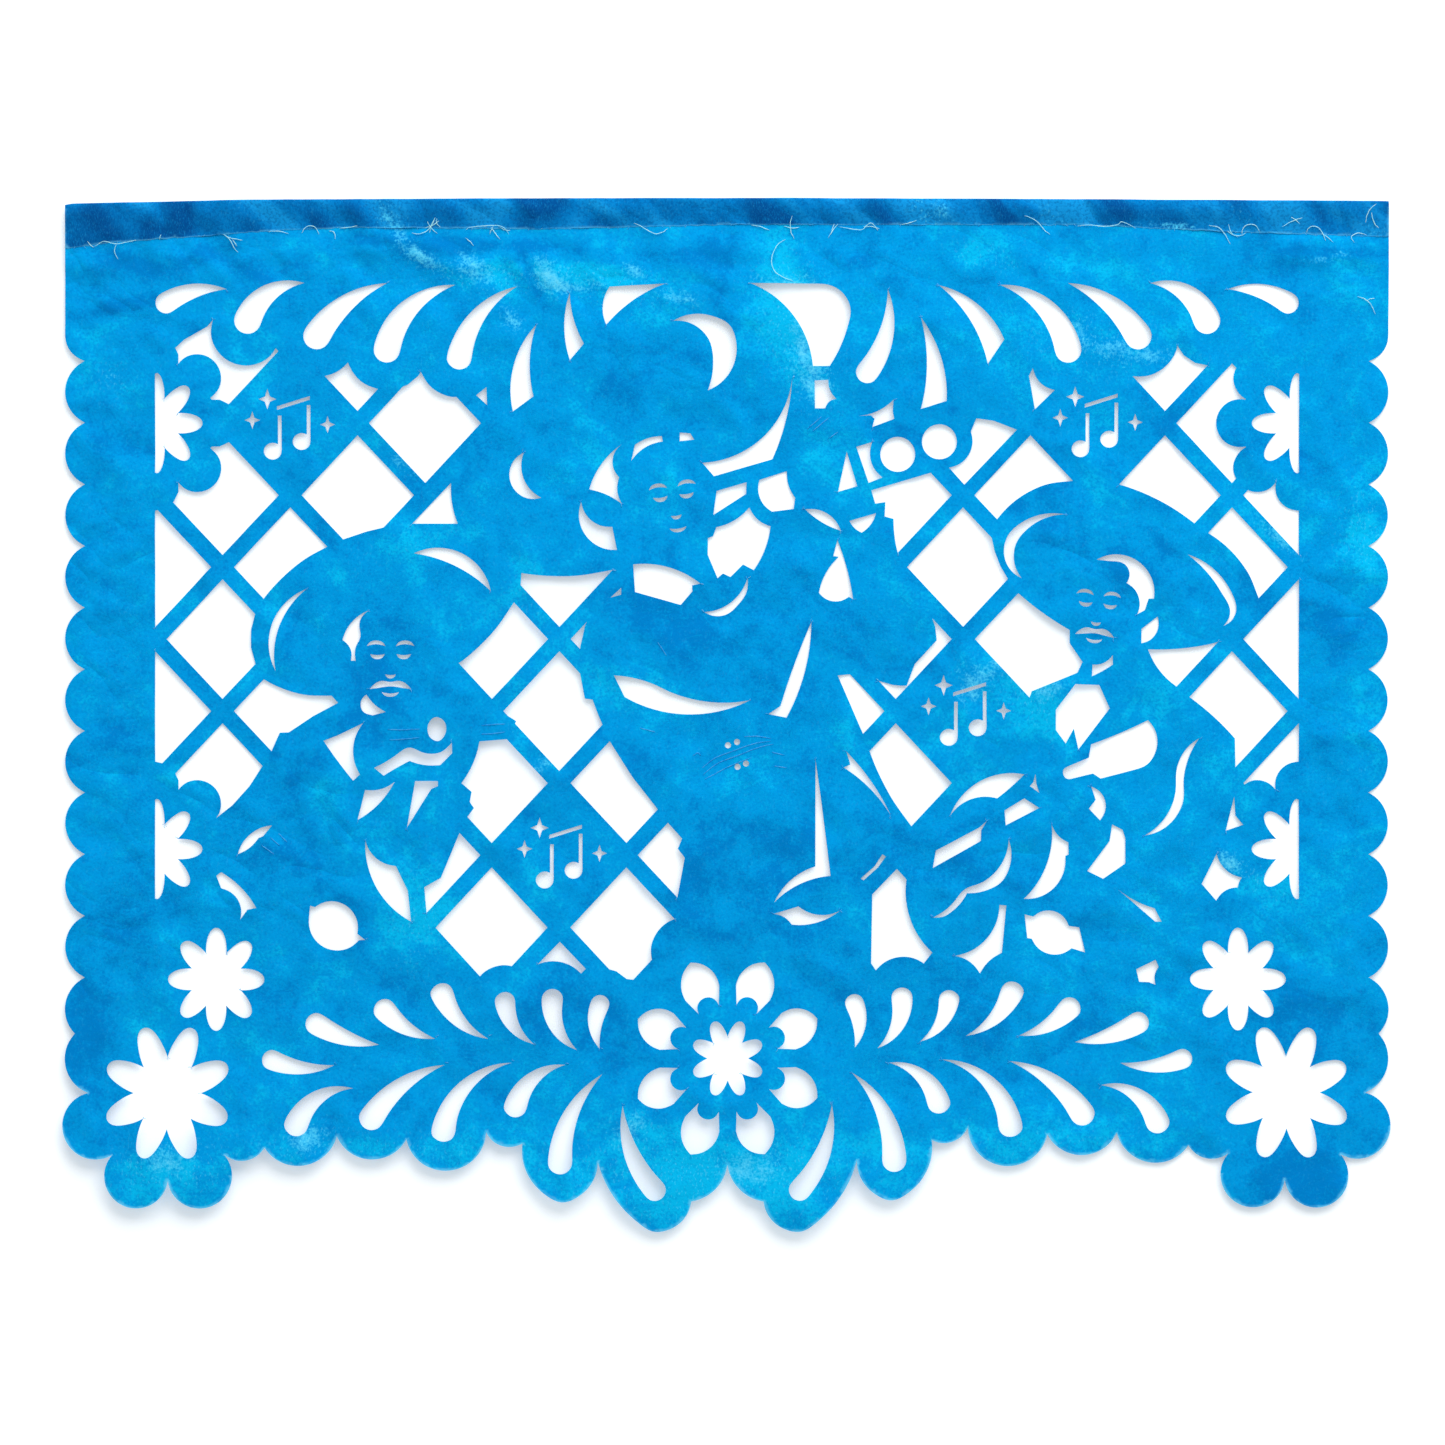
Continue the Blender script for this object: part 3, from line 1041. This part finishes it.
def frayed_corners():
    """Tufts of two or three short fibres at the sharp ends of the cuts."""
    random = np.random.default_rng(21)
    tufts = []
    for loop in cuts:
        before, after = loop - np.roll(loop, 1, 0), np.roll(loop, -1, 0) - loop
        if np.hypot(*after.T).sum() < SHORTEST_FRAYED_CUT:
            continue
        turns = np.arctan2(after[:, 1], after[:, 0]) - np.arctan2(before[:, 1], before[:, 0])
        turns = (turns + math.pi) % (2 * math.pi) - math.pi
        for tip, arriving, leaving, turn in zip(loop, before, after, turns):
            if abs(turn) < SHARP_BEND or random.random() < CLEAN_SHARE:
                continue
            outward = arriving / np.hypot(*arriving) - leaving / np.hypot(*leaving)
            outward /= np.hypot(*outward)
            for _ in range(random.integers(2, 4)):
                swing = random.uniform(-1.0, 1.0)
                heading = turned(outward, swing)
                length = random.uniform(0.6, 1.5)
                start = tip - outward * random.uniform(0.0, 0.3)
                bow = turned(heading, math.pi / 2) * random.uniform(-0.25, 0.25)
                tufts.append([start, start + heading * length / 2 + bow, start + heading * length])
    return tufts


def torn_whiskers():
    """Short fibres all along the flap's torn edge."""
    random = np.random.default_rng(5)
    whiskers = []
    even = np.arange(-WHISKER_END, WHISKER_END, WHISKER_STEP)
    for x in even + random.uniform(-1.2, 1.2, WHISKER_COUNT):
        if random.random() < LEFT_OUT_SHARE:
            continue
        heading = random.uniform(-2.6, -0.5)
        length = random.uniform(0.7, 1.9)
        start = np.array([x, flap_edge_at(x) + 0.4])
        end = start + length * np.array([math.cos(heading), math.sin(heading) * 0.7])
        bow = np.array([random.uniform(-0.2, 0.2), random.uniform(-0.2, 0.2)])
        whiskers.append([start, (start + end) / 2 + bow, end])
    return whiskers


white_fibre = fibre_material("white_fibre", (0.38, 0.90, 1.0, 1), (0.66, 1.0, 1.0, 1))
blue_fibre = fibre_material("blue_fibre", (0.03, 0.54, 0.94, 1), (0.22, 0.74, 1.0, 1))
slit_lip = fibre_material("slit_lip", (0.004, 0.44, 0.90, 1), (0.10, 0.60, 0.96, 1))
hem_fibres = [[place + PLACE_SHIFT for place in fibre] for fibre in HEM_FIBRES]
slits = [[place + PLACE_SHIFT for place in slit] for slit in SLITS]
strands_piece("hem_fibres", hem_fibres, 0.15, white_fibre)
strands_piece("cut_fuzz", frayed_corners() + torn_whiskers(), 0.075, blue_fibre, arch=0.12)
strands_piece("slit_lips", slits, 0.17, slit_lip, arch=0.0, flatness=0.7, wiggle=0.06)

# Floor, light and camera. The table glows a little for the camera alone, so that it shows white.
FLOOR_COLOUR = (0.93, 0.93, 0.935, 1)
GLOW_COLOUR = (0.8, 0.94, 1, 1)
GLOW_STRENGTH = 0.32
WORLD_STRENGTH = 0.52
LAMP_PLACE = (0.45, 1.50, 1.25)
LAMP_SIZE = 2.0
LAMP_POWER = 46.5


def floor_material():
    """A white table."""
    n = Nodes("table_white")
    camera_ray = n.add("LightPath").outputs["Is Camera Ray"]
    ground = n.add("BsdfDiffuse", Color=FLOOR_COLOUR)
    strength = n.math("MULTIPLY", camera_ray, GLOW_STRENGTH)
    glow = n.add("Emission", Color=GLOW_COLOUR, Strength=strength)
    both = n.add("AddShader", i0=ground.outputs[0], i1=glow.outputs[0])
    n.add("OutputMaterial", Surface=both.outputs[0])
    return n.material


FLOOR_HALF = 2500.0
floor_corners = np.array([(-1, -1, 0), (1, -1, 0), (1, 1, 0), (-1, 1, 0)]) * FLOOR_HALF
floor = new_piece("floor", floor_corners, [(0, 1, 2, 3)], floor_material())

world = bpy.data.worlds.new("studio")
world.use_nodes = True
bpy.context.scene.world = world
sky = world.node_tree.nodes["Background"]
sky.inputs["Color"].default_value = (1, 1, 1, 1)
sky.inputs["Strength"].default_value = WORLD_STRENGTH

lamp_data = bpy.data.lights.new("key_lamp", "AREA")
lamp_data.shape = "SQUARE"
lamp_data.size = LAMP_SIZE
lamp_data.energy = LAMP_POWER
key_lamp = bpy.data.objects.new("key_lamp", lamp_data)
key_lamp.location = LAMP_PLACE
key_lamp.rotation_euler = (-Vector(LAMP_PLACE)).to_track_quat("-Z", "Y").to_euler()
bpy.context.scene.collection.objects.link(key_lamp)

CAMERA_DISTANCE = 2.4
SENSOR = 36.0
camera_data = bpy.data.cameras.new("camera")
camera_data.sensor_width = SENSOR
camera_data.lens = SENSOR * CAMERA_DISTANCE / (PHOTO_WIDTH * MM)
camera = bpy.data.objects.new("camera", camera_data)
camera.location = (PHOTO_MIDDLE[0] * MM, PHOTO_MIDDLE[1] * MM, CAMERA_DISTANCE)
bpy.context.scene.collection.objects.link(camera)
bpy.context.scene.camera = camera
bpy.context.scene.view_settings.view_transform = "Standard"
